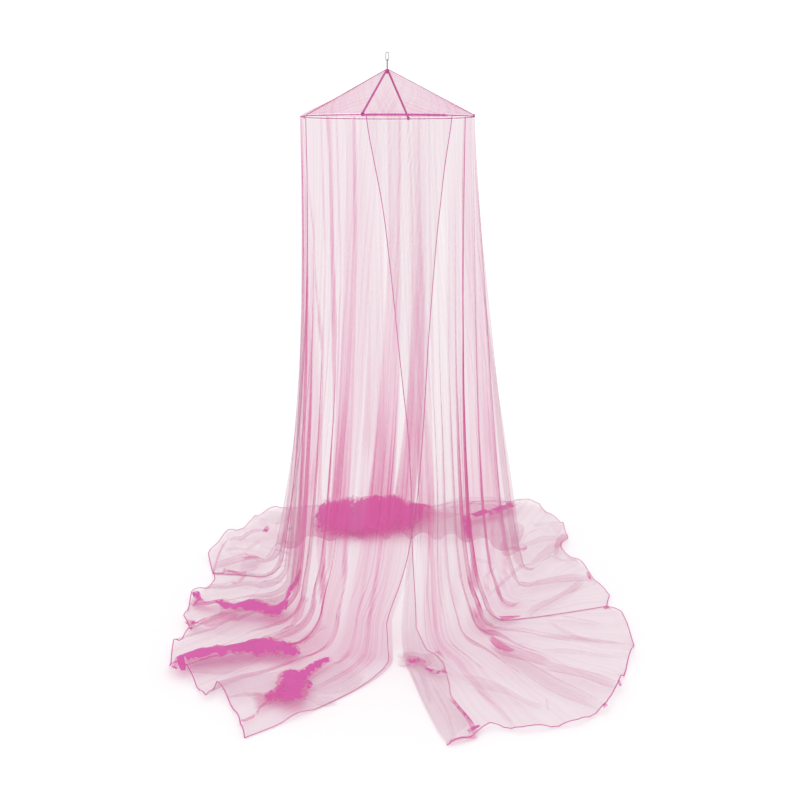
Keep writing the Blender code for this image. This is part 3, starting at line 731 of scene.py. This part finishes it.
    # Out along the floor: a quadratic curve that leaves the foot outward and ends at the hem's place.
    leave = foot_point + away * fillet[:, None]
    goal = [np.interp(share, hem.share, places) for places in (hem.x, hem.y)]
    goal = np.stack([*goal, np.zeros_like(share)], -1)
    stride = np.linalg.norm(goal - leave, axis=1) * foot(azimuth[-1], "bend")
    steer = leave + away * stride[:, None]
    out = np.linspace(0.0, 1.0, LIE_ROWS + 1)[1:, None]
    far = out[..., None]
    lie = (1 - far) ** 2 * leave + 2 * far * (1 - far) * steer + far**2 * goal
    lie[..., 2] = FLOOR
    keep = ramp((held + 0.25 - out) / 0.5) * (1 - 0.5 * out)
    mound, adds = heaped(lie, heaps, ramp(out * 3 + 0.2))
    smooth_ridge = ridge * lying(wave) * (1 - HEM_FLATTENING * out)
    crease = wrinkle(lie[..., 0], lie[..., 1], CREASE_SIZE)
    soft = CREASE_HEIGHT * edge_ease * (0.7 + crease) * ramp(out * 4)
    height = FLOOR + NET_LIFT + smooth_ridge + low_pleat * LYING_PLEAT * keep + mound
    lie[..., 2] = height + np.maximum(soft, 0.0)

    # How much net each point stands for, from the slope of its pleats, and the heaps' own share.
    pitch = np.abs(np.gradient(phase, axis=1)) / (2 * np.pi)
    steps = np.abs(np.gradient(azimuth, axis=1)) * np.pi / 180 * MEAN_RADIUS + 1e-6
    slope = 2.6 * pleat * pitch / steps
    steep = np.sqrt(1 + np.minimum(slope, 3.0) ** 2)
    lapped = np.abs(lean)
    gathered = GATHERED_NET * tight
    hang_layers = ONE_LAYER * (1 - LAPPED_FLAT * lapped) * (0.66 + 0.34 * steep) + gathered
    lie_layers = ONE_LAYER * (1.05 + (0.25 * steep[-1] - 0.25) * keep) + gathered[-1] * keep * 0.6 + adds
    bend_layers = hang_layers[-1] * (1 - flatness) + lie_layers[0] * flatness
    layers = np.concatenate([hang_layers, bend_layers, lie_layers])
    points = np.concatenate([hang, bend, lie])
    # The cloth runs 1.70 m down, 0.15 m round the turn and 0.55 m over the floor.
    length = np.concatenate([drop * 1.7, 1.7 + turn / np.pi * 0.3, 1.85 + out * 0.55])
    uv = cloth_places(share * hem_width, length)
    return points, uv, layers


LAP_STEPS = 26
LAP_ACROSS = np.array((-1.0, -0.9, -0.72, -0.4, 0.0, 0.4, 0.72, 0.9, 1.0))
LAP_LIFT = 0.0015
LAP_SWELL = 0.004
LAP_HUMP = 0.030
LAP_REACH = 0.016
LAP_LOOK = 0.05
LAP_FURTHEST = max(BACK_HEM.y) + 0.05


def folded_over(name, laps, points):
    """The laps of a panel as one mesh of strips that lie on the highest cloth near them.

    Width runs through a lap's start, middle and end by a parabola. Its ends thin out. Its bunch share falls
    off towards its outline by rag, so that the outline frays. No lap goes far past the back hem.
    """
    table = np.array([Lap(*lap) for lap in laps]).T[..., None, None]
    row = Lap(*table[:8] / 1000, *table[8:] / 100)
    along = np.linspace(0.0, 1.0, LAP_STEPS)[:, None]
    width = through(along, row.start, row.middle, row.end)
    number = np.arange(len(laps))[:, None, None]
    length = np.hypot(row.to_x - row.x, row.to_y - row.y)
    edge_waver = 1 + 0.25 * row.rag * uneven(along * length * 6 + LAP_ACROSS * 0.05, number + 1.0)
    aside = row.bow * 4 * along * (1 - along) + width / 2 * LAP_ACROSS * edge_waver
    x = row.x + (row.to_x - row.x) * along - (row.to_y - row.y) / length * aside
    y = row.y + (row.to_y - row.y) * along + (row.to_x - row.x) / length * aside
    strips = np.stack([x, np.minimum(y, LAP_FURTHEST), np.zeros_like(x)], -1)
    cloth = points[HANG_ROWS:, ::3].reshape(-1, 3)
    # Each strip takes its height from the cloth under it, then is evened out.
    for strip in strips:
        low = strip[..., :2].min((0, 1)) - LAP_LOOK
        high = strip[..., :2].max((0, 1)) + LAP_LOOK
        under = cloth[((cloth[:, :2] > low) & (cloth[:, :2] < high)).all(1)]
        under = under if len(under) else cloth
        away = np.hypot(strip[..., :1] - under[:, 0], strip[..., 1:2] - under[:, 1])
        closest = np.take(under[:, 2], away.argmin(-1))
        height = np.maximum(closest, np.where(away < LAP_REACH, under[:, 2], FLOOR).max(-1))
        for _ in range(4):
            evened(height)
            evened(height.T)
        strip[..., 2] = height
    ripple = 0.7 + 0.3 * np.sin(along * length * 55 + 4 * LAP_ACROSS + number)
    swell = LAP_SWELL * np.minimum(width / 0.03, 1.0) + LAP_HUMP * width * ripple
    strips[..., 2] += LAP_LIFT + swell * (1 - LAP_ACROSS**2)
    ends = ramp(along * 6) * ramp((1 - along) * 6)
    layers = row.adds * (1 + row.edge * (np.abs(LAP_ACROSS) > 0.8)) * ends
    bunch = row.bunch * (1 - row.rag * (LAP_ACROSS**2 + np.abs(2 * along - 1) ** 6))
    uv = cloth_places(LAP_ACROSS * width * 1.3 + number * 0.37, along * length)
    return grid_object(name, strips, PINK_NET, uv=uv, layers=layers, bunch=bunch)


RIGHT_WIDTH, BACK_WIDTH, LEFT_WIDTH = 1.25, 3.00, 1.98
BACK_SEAM = Edge(drop=(0, 1), azimuth=(SEAMS[3], SEAMS[3]))
LEFT_SEAM = Edge(drop=(0, 1), azimuth=(SEAMS[3] - 360, SEAMS[3] - 360))
right_cloth = (RIGHT_HEM, RIGHT_FOLDS, RIGHT_BUNDLES, RIGHT_HEAPS)
back_cloth = (BACK_HEM, BACK_FOLDS, BACK_BUNDLES, BACK_HEAPS)
left_cloth = (LEFT_HEM, LEFT_FOLDS, LEFT_BUNDLES, LEFT_HEAPS)
right_net = skirt_panel(RIGHT_PANEL_EDGE, RIGHT_SEAM, *right_cloth, 1, RIGHT_WIDTH, seed=1.0)
back_net = skirt_panel(RIGHT_SEAM, BACK_SEAM, *back_cloth, 0, BACK_WIDTH, seed=2.4)
left_net = skirt_panel(LEFT_SEAM, LEFT_PANEL_EDGE, *left_cloth, -1, LEFT_WIDTH, seed=4.2)


def woven_thread():
    """Colour = a cloud between a dark and a light tone; height = cells of threads, so many a metre."""
    sockets = {"Dark": COLOUR, "Light": COLOUR, "Threads": VALUE}
    group, taken, given = shader_group("woven_thread", sockets, {"Base Color": COLOUR, "Height": VALUE})
    place = group.nodes.new("ShaderNodeTexCoord").outputs["Object"]
    cloud = fed(group, "ShaderNodeTexNoise", Vector=place, Scale=90.0)
    weave = fed(group, "ShaderNodeTexVoronoi", Vector=place, Scale=taken["Threads"])
    tone = blended(group, cloud.outputs["Fac"], taken["Dark"], taken["Light"])
    group.links.new(tone, given["Base Color"])
    group.links.new(weave.outputs["Distance"], given["Height"])
    return group


WOVEN_THREAD = woven_thread()


def woven_tape(name, colour, pitch, painted_glow=0.12):
    """Tape or cord in one colour, clouded a little darker and lighter, with a woven bump at this pitch.

    Its glow is painted light: the share of its colour that it gives off itself, which lifts its shaded sides.
    """
    material, tree, shader = shader_material(name, colour, 0.7)
    dark = (*(0.72 * c for c in colour), 1.0)
    light = (*(min(1.0, 1.25 * c) for c in colour), 1.0)
    woven = fed(tree, WOVEN_THREAD, Dark=dark, Light=light, Threads=1 / pitch)
    bump = fed(tree, "ShaderNodeBump", Height=woven.outputs["Height"], Distance=pitch / 3)
    tree.links.new(bump.outputs["Normal"], shader.inputs["Normal"])
    tree.links.new(woven.outputs["Base Color"], shader.inputs["Base Color"])
    # The tape's emission is painted light: a glow in its own colour that lifts its shaded sides.
    tree.links.new(woven.outputs["Base Color"], shader.inputs["Emission Color"])
    shader.inputs["Emission Strength"].default_value = painted_glow
    return material


# The hem line glows most, painted light that keeps its thin tube from going dark in its own shade.
HEM_THREAD = woven_tape("overlocked_hem", (0.45, 0.080, 0.25), 0.0012, painted_glow=0.38)


def swept(name, path, aside, width, thick, material, sides=6):
    """A rounded strip along path, width across towards aside, closed to a point at both ends."""
    path = np.concatenate([path[:1], path, path[-1:]])
    aside = np.concatenate([aside[:1], aside, aside[-1:]])
    tangent = np.gradient(path[1:-1], axis=0)
    tangent = np.concatenate([tangent[:1], tangent, tangent[-1:]])
    over = np.cross(aside - path, tangent)
    over = over / np.linalg.norm(over, axis=1, keepdims=True)
    across = np.cross(tangent, over)
    across = across / np.linalg.norm(across, axis=1, keepdims=True)
    girth = np.ones(len(path))
    girth[[0, -1]] = 0.02
    turn = np.arange(sides) * 2 * np.pi / sides
    wide = across[:, None] * np.cos(turn)[:, None] * width / 2
    high = over[:, None] * np.sin(turn)[:, None] * thick / 2
    points = path[:, None] + (wide + high) * girth[:, None, None]
    return grid_object(name, points, material, closed=True)


def run_along(path):
    """The length along a path from its first point to each of its points: the sum of its steps."""
    return np.concatenate([[0.0], np.cumsum(np.linalg.norm(np.diff(path, axis=0), axis=1))])


def stands_for(piece, node):
    """The piece takes the place of a CAD node on the one body: it hangs from the root and the node is hidden.
    """
    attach(piece, "root")
    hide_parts(node)


# The right front edge is turned back on itself low down: x, y and height of its sewn edge over the floor.
TURNED_CORNER = (
    (0.130, -0.522, 0.034),
    (0.150, -0.530, 0.036),
    (0.181, -0.586, 0.030),
    (0.194, -0.714, 0.024),
    (0.194, -0.771, 0.020),
    (0.252, -0.912, 0.014),
)
HEM_WIDE = 0.0036
HEM_THICK = 0.0024
EDGE_WIDE = 0.0026
EDGE_ASIDE = (0.02, 0.0, 0.004)
TURN_STARTS = 0.72
TURN_INNER_COLUMN = 60
EDGE_STEPS = 60
CORNER_STEPS = 15
CORNER_WIDE = 0.09
SEWN_FROM_COLUMN = 400


def turned_edge(points):
    """The right front edge: down the first column, then out from it over the turned corner on the floor."""
    hang = points[:HANG_ROWS, 0].copy()
    drop = np.linspace(0.0, 1.0, HANG_ROWS)[:, None]
    turned = ramp((drop - TURN_STARTS) / (1 - TURN_STARTS))
    inner = points[:HANG_ROWS, TURN_INNER_COLUMN]
    hang = hang + turned * (inner - hang) * 1.3 + turned * (0.0, -0.010, 0.0)
    corner = np.array(TURNED_CORNER) + (0.0, 0.0, FLOOR)
    low = np.concatenate([hang[-1:], corner])
    stride = run_along(low)
    along = np.linspace(0.0, stride[-1], EDGE_STEPS)[1:]
    lie = np.stack([np.interp(along, stride, low[:, axis]) for axis in range(3)], -1)
    for _ in range(3):
        evened(lie)
    return np.concatenate([hang, lie])


# The turned corner runs from the panel's first column across to the sewn edge, and bulges in between.
right_points = right_net[0]
right_edge = turned_edge(right_points)
fold_rows = int(TURN_STARTS * HANG_ROWS)
outer = right_points[fold_rows:, 0]
outer_place = np.linspace(0.0, 1.0, len(outer))
inner = right_edge[fold_rows:]
inner_place = np.linspace(0.0, 1.0, len(inner))
inner = np.stack([np.interp(outer_place, inner_place, inner[:, axis]) for axis in range(3)], -1)
across = np.linspace(0.0, 1.0, CORNER_STEPS)[:, None]
turned_back = outer[:, None] * (1 - across) + inner[:, None] * across
bulge = np.sin(np.pi * across[:, 0])
lift = 0.004 + 0.012 * bulge + 0.004 * np.sin(17 * outer_place)[:, None] * bulge
turned_back = turned_back + np.array((0.0, -0.35, 1.0)) * lift[..., None]
flat_uv = cloth_places(np.linspace(0.0, CORNER_WIDE, CORNER_STEPS), 1.2 + 1.2 * outer_place[:, None])
turned_net = 0.09 + 0.02 * bulge + 0.06 * ramp(1 - 2 * outer_place)[:, None]
corner_shares = {"layers": turned_net, "bunch": 0.0}
corner_fold = grid_object("turned_front_corner", turned_back, PINK_NET, uv=flat_uv, **corner_shares)


def sewn_edge(points):
    """The left front edge: its sewn line runs inside the turned back cloth low down, and out at the hem."""
    columns = points.shape[1] - 1
    azimuth = np.degrees(np.arctan2(points[:HANG_ROWS, :, 0], -points[:HANG_ROWS, :, 1]))
    goal = edge_azimuth(LEFT_SEWN_EDGE, np.linspace(0.0, 1.0, HANG_ROWS))
    inset = np.argmax(azimuth[:, SEWN_FROM_COLUMN:] > goal[:, None] - 0.2, axis=1) + SEWN_FROM_COLUMN
    lower = np.linspace(inset[-1], columns, len(points) - HANG_ROWS + 1)[1:].astype(int)
    return points[np.arange(len(points)), np.concatenate([inset, lower])] + (0.0, -0.002, 0.001)


PANELS = (
    ("skirt_front_right", right_net, RIGHT_LAPS, RIGHT_WIDTH, 0.385),
    ("skirt_back", back_net, BACK_LAPS, BACK_WIDTH, 1.021),
    ("skirt_front_left", left_net, LEFT_LAPS, LEFT_WIDTH, 0.791),
)
for name, (points, uv, layers), laps, hem_width, top_width in PANELS:
    panel = grid_object("net_" + name, points, PINK_NET, uv=uv, layers=layers, bunch=0.0)
    nets = [panel, folded_over("laps_" + name, laps, points)]
    lines = [("hem_", points[-1, ::2], points[-3, ::2], HEM_WIDE)]
    if name == "skirt_front_right":
        nets.append(corner_fold)
        lines.append(("free_edge_", right_edge, right_edge + EDGE_ASIDE, EDGE_WIDE))
        lines.append(("seam_edge_", points[:, -1], points[:, -7], EDGE_WIDE))
    if name == "skirt_front_left":
        sewn = sewn_edge(points)
        lines.append(("free_edge_", sewn, sewn + EDGE_ASIDE, EDGE_WIDE))
        lines.append(("seam_edge_", points[:, 0], points[:, 6], EDGE_WIDE))
    up = (0.0, 0.0, HEM_THICK / 2)
    sewn_lines = [
        swept(label + name, path + up, aside + up, width, HEM_THICK, HEM_THREAD)
        for label, path, aside, width in lines
    ]
    for piece in nets:
        stands_for(piece, name)
    for piece in sewn_lines:
        stands_for(piece, name)

# ================================================================ roof
# Four net gores sewn to the crown and the hoop's channel, stretched to a low cone that dips a little between
# its seams. Each seam is covered with flat tape that ends in a small knot at the hoop.
APEX = FLOOR + 1.956
CROWN_LENGTH = 0.014
CROWN_RADIUS = 0.0070
GORE_TOP = APEX - 0.12 * CROWN_LENGTH
GORE_INNER = 0.0020
GORE_OUTER = HOOP_RADIUS - 0.0020
GORE_LOW = HOOP_HEIGHT + CHANNEL / 2 + 0.0009
GORE_SAG = 0.007
GORE_ROWS = 40
GORE_COLUMNS = 90
TAPE_WIDTH = 0.0080
TAPE_THICK = 0.0022
TAPE_LIFT = 0.0024
TAPE_WRAP = 0.0065
TAPE_HANGS = 0.012
KNOT_PLACE = (0.0035, 0.003)
KNOT_HALF = (0.0042, 0.0032)
KNOT_TAPE = (0.0048, 0.0034)


def roof_line(share, lift=0.0):
    """Radius and height along a straight roof line, from the crown (0) to the channel (1)."""
    return GORE_INNER + (GORE_OUTER - GORE_INNER) * share, GORE_TOP + (GORE_LOW - GORE_TOP) * share + lift


GORES = ("front_right", "back_right", "back_left", "front_left")
for number, label in enumerate(GORES):
    start = SEAMS[number]
    along = np.linspace(0.0, 1.0, GORE_ROWS)
    across = np.linspace(0.0, 1.0, GORE_COLUMNS)
    radius, height = roof_line(along)
    sag = GORE_SAG * np.sin(np.pi * along)[:, None] * np.sin(np.pi * across)
    pull = uneven(across * 1.3, number + 1.0) * ramp(along * 1.2)[:, None] * ramp((1 - along) * 6)[:, None]
    points = outward(start + 90.0 * across) * radius[:, None, None]
    points[..., 2] = height[:, None] - sag + 0.0012 * pull
    # More net to the sides of the cone, and where it is gathered at the crown and the channel.
    sideways = np.abs(np.sin(np.radians(start + 90.0 * across - 30.0)))
    ends = 0.07 * ramp(1 - along * 5) + 0.05 * ramp(along * 12 - 11)
    dense = 0.168 + sideways * (0.07 + 0.05 * ramp(along * 1.6 - 0.4))[:, None] + 0.02 * pull + ends[:, None]
    cloth_uv = cloth_places(across * 0.47 * along[:, None], along[:, None] * 0.34)
    gore = grid_object("net_gore_" + label, points, PINK_NET, uv=cloth_uv, layers=dense, bunch=0.0)
    stands_for(gore, "roof_gore_" + label)

BINDING_TAPE = woven_tape("binding_tape", (0.46, 0.065, 0.26), 0.0010)
for azimuth, label in zip(SEAMS, ("front", "right", "back", "left")):
    share = np.linspace(0.0, 1.0, 30)
    radius, height = roof_line(share, TAPE_LIFT)
    path = outward(np.full(30, azimuth)) * radius[:, None]
    path[:, 2] = height
    wrap = np.linspace(0.0, 1.0, 8)[1:]
    over = outward(np.full(7, azimuth)) * (GORE_OUTER + TAPE_WRAP * np.sin(wrap * np.pi / 2))[:, None]
    over[:, 2] = height[-1] - TAPE_HANGS * wrap
    path = np.concatenate([path, over])
    side = outward(np.full(len(path), azimuth + 90.0))
    tape = swept("binding_" + label, path, path + side, TAPE_WIDTH, TAPE_THICK, BINDING_TAPE, sides=10)
    knot_turn = np.linspace(0.0, 2 * np.pi, 33)
    knot_middle = outward(np.array(azimuth)) * (HOOP_RADIUS + KNOT_PLACE[0])
    knot_middle = knot_middle + (0.0, 0.0, HOOP_HEIGHT + KNOT_PLACE[1])
    knot_path = knot_middle + np.outer(np.cos(knot_turn), side[0]) * KNOT_HALF[0]
    knot_path = knot_path + np.outer(np.sin(knot_turn), (0.0, 0.0, 1.0)) * KNOT_HALF[1]
    knot = swept("knot_" + label, knot_path, knot_path + path[-1] * (1, 1, 0), *KNOT_TAPE, BINDING_TAPE)
    for piece in (tape, knot):
        stands_for(piece, "roof_seam_" + label)

# ================================================================ hoop and its channel
# A coated steel wire ring in a sewn sleeve of tape. The sleeve is gathered in fine puckers and is darkest
# where both front panels are sewn into it.
CHANNEL_COLUMNS = 720
CHANNEL_SIDES = 16
SLEEVE_THIN = 0.0048
PUCKER = 0.0004
azimuth = np.linspace(0.0, 360.0, CHANNEL_COLUMNS + 1)
turn = np.arange(CHANNEL_SIDES) * 2 * np.pi / CHANNEL_SIDES
around = np.radians(azimuth)
pucker = PUCKER * (np.sin(around * 173) + 0.6 * np.sin(around * 97 + 1.0) + 0.5 * np.sin(around * 31))
signed = (azimuth + 180.0) % 360.0 - 180.0
# Full width from azimuth -17 to 41, where both front panels are sewn in.
doubled = ramp((signed + 17.0) / 3.0) * ramp((41.0 - signed) / 4.0)
sleeve_half = (SLEEVE_THIN + (CHANNEL - SLEEVE_THIN) * doubled) / 2 - PUCKER * 1.5
tube = sleeve_half[:, None] + pucker[:, None] * (0.4 + 0.6 * np.abs(np.sin(turn / 2 + 0.4)))
ring_out = outward(azimuth)[:, None] * (HOOP_RADIUS + tube * np.cos(turn))[..., None]
ring_out[..., 2] = HOOP_HEIGHT + tube * np.sin(turn)
SLEEVE_TAPE = woven_tape("sleeve_tape", (0.52, 0.090, 0.32), 0.0010)
sleeve = grid_object("sewn_sleeve", ring_out[:, ::-1], SLEEVE_TAPE, closed=True)
stands_for(sleeve, "hoop_channel")


def clouded_polish():
    """Roughness = a cloud of this scale, from low to high."""
    sockets = {"Scale": VALUE, "Low": VALUE, "High": VALUE}
    group, taken, given = shader_group("clouded_polish", sockets, {"Roughness": VALUE})
    place = group.nodes.new("ShaderNodeTexCoord").outputs["Object"]
    cloud = fed(group, "ShaderNodeTexNoise", Vector=place, Scale=taken["Scale"])
    rough = ranged(group, cloud.outputs["Fac"], 0.0, 1.0, taken["Low"], taken["High"])
    group.links.new(rough, given["Roughness"])
    return group


CLOUDED_POLISH = clouded_polish()


def drawn_wire(name, colour, scale, low, high):
    """Wire in one colour whose polish clouds from low to high roughness, and its shader."""
    material, tree, shader = shader_material(name, colour, low)
    polish = fed(tree, CLOUDED_POLISH, Scale=scale, Low=low, High=high)
    tree.links.new(polish.outputs["Roughness"], shader.inputs["Roughness"])
    return material, shader


coating, coating_shader = drawn_wire("coated_wire", (0.62, 0.20, 0.40), 60.0, 0.28, 0.52)
coating_shader.inputs["Coat Weight"].default_value = 0.3
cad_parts["hoop"].data.materials[0] = coating

# ================================================================ crown and hanging cord
# The gores' tips are bound into a small knob of wound cord. A doubled braided cord comes out of it and passes
# through the hanging ring.
CROWN_TURNS = 7.0
knob_share = np.linspace(0.0, 1.0, 60)
knob_turn = np.linspace(0.0, 2 * np.pi, 40, endpoint=False)
profile = 0.30 + 0.70 * np.sin(np.pi * np.clip(knob_share, 0.02, 0.98)) ** 0.5
profile = profile * (1 - 0.35 * bell((knob_share - 0.55) / 0.22))
wound = 1 + 0.06 * np.abs(np.sin(np.pi * CROWN_TURNS * knob_share[:, None] + knob_turn / 2))
knob_radius = (CROWN_RADIUS - 0.0020) * profile[:, None] * wound
knob_radius[[0, -1]] = 0.0001
knob_height = (APEX - CROWN_LENGTH + CROWN_LENGTH * knob_share)[:, None]
knob = (knob_radius * np.cos(knob_turn), knob_radius * np.sin(knob_turn), knob_height)
knob = np.stack(np.broadcast_arrays(*knob), axis=-1)
CORD_THREAD = woven_tape("braided_cord", (0.36, 0.022, 0.17), 0.0009)
knob_piece = grid_object("bound_tip", knob[:, ::-1], CORD_THREAD, closed=True)
stands_for(knob_piece, "crown")

CORD = 0.0030
RING_WIRE = 0.0022
RING_WIDE = 0.0125
RING_TALL = 0.0290
RING_LOWEST = FLOOR + 1.9840
STRANDS = 4
BRAID = 0.0038
BRAID_LAY = 0.008
CORD_CLEARANCE = 0.0003
loop_bend = RING_WIRE / 2 + CORD_CLEARANCE + CORD / 2
loop_centre = RING_LOWEST + RING_WIRE / 2
leg = np.linspace(APEX + CORD_CLEARANCE, loop_centre, 60, endpoint=False)
bend_turn = np.linspace(0.0, np.pi, 24)
loop_y = np.concatenate([np.full(60, loop_bend), loop_bend * np.cos(bend_turn), np.full(60, -loop_bend)])
loop_z = np.concatenate([leg, loop_centre + loop_bend * np.sin(bend_turn), leg[::-1]])
loop_path = np.stack([np.zeros_like(loop_y), loop_y, loop_z], -1)
cord_turn = np.linspace(0.0, 2 * np.pi, 20, endpoint=False)
twist = run_along(loop_path)[:, None] * 2 * np.pi / BRAID_LAY
braid = 0.88 + 0.12 * np.abs(np.sin(STRANDS * cord_turn / 2 + twist))
braid[[0, -1]] *= 0.4


def round_wire(name, path, tangent, level, radius, material):
    """A round section along a flat path: path + radius x (cos(turn) level + sin(turn) (tangent x level)).

    level is the direction square to the plane of the path. radius has a row a point and a column a turn.
    """
    tangent = tangent / np.linalg.norm(tangent, axis=1, keepdims=True)
    turn = np.linspace(0.0, 2 * np.pi, radius.shape[-1], endpoint=False)[:, None]
    ring = np.cos(turn) * np.array(level) + np.sin(turn) * np.cross(tangent, level)[:, None]
    return grid_object(name, path[:, None] + ring * radius[..., None], material, closed=True)


along_loop = np.gradient(loop_path, axis=0)
loop_radius = braid * BRAID / 2
loop_piece = round_wire("braided_loop", loop_path, along_loop, (1.0, 0.0, 0.0), loop_radius, CORD_THREAD)
stands_for(loop_piece, "hanging_loop")

# ================================================================ hanging ring
# A bright zinc plated wire link, bent to an upright oval and closed. The cord hangs from it, and it is what a
# ceiling's hook or cord holds.
link_turn = np.linspace(0.0, 2 * np.pi, 97)
link_radius = (RING_WIDE - RING_WIRE) / 2
link_x = link_radius * np.cos(link_turn)
link_straight = np.where(np.sin(link_turn) > 0, RING_TALL - RING_WIDE, 0.0)
link_z = RING_LOWEST + RING_WIDE / 2 + link_radius * np.sin(link_turn) + link_straight
link_path = np.stack([link_x, np.zeros_like(link_x), link_z], -1)
link_path[-1] = link_path[0]
along_link = np.roll(link_path[:-1], -1, 0) - np.roll(link_path[:-1], 1, 0)
along_link = np.concatenate([along_link, along_link[:1]])
zinc, zinc_shader = drawn_wire("bright_zinc", (0.33, 0.34, 0.36), 700.0, 0.16, 0.42)
zinc_shader.inputs["Metallic"].default_value = 1.0
link_wire = np.full((1, 16), RING_WIRE / 2)
link_piece = round_wire("zinc_link", link_path, along_link, (0.0, 1.0, 0.0), link_wire, zinc)
stands_for(link_piece, "hanging_ring")
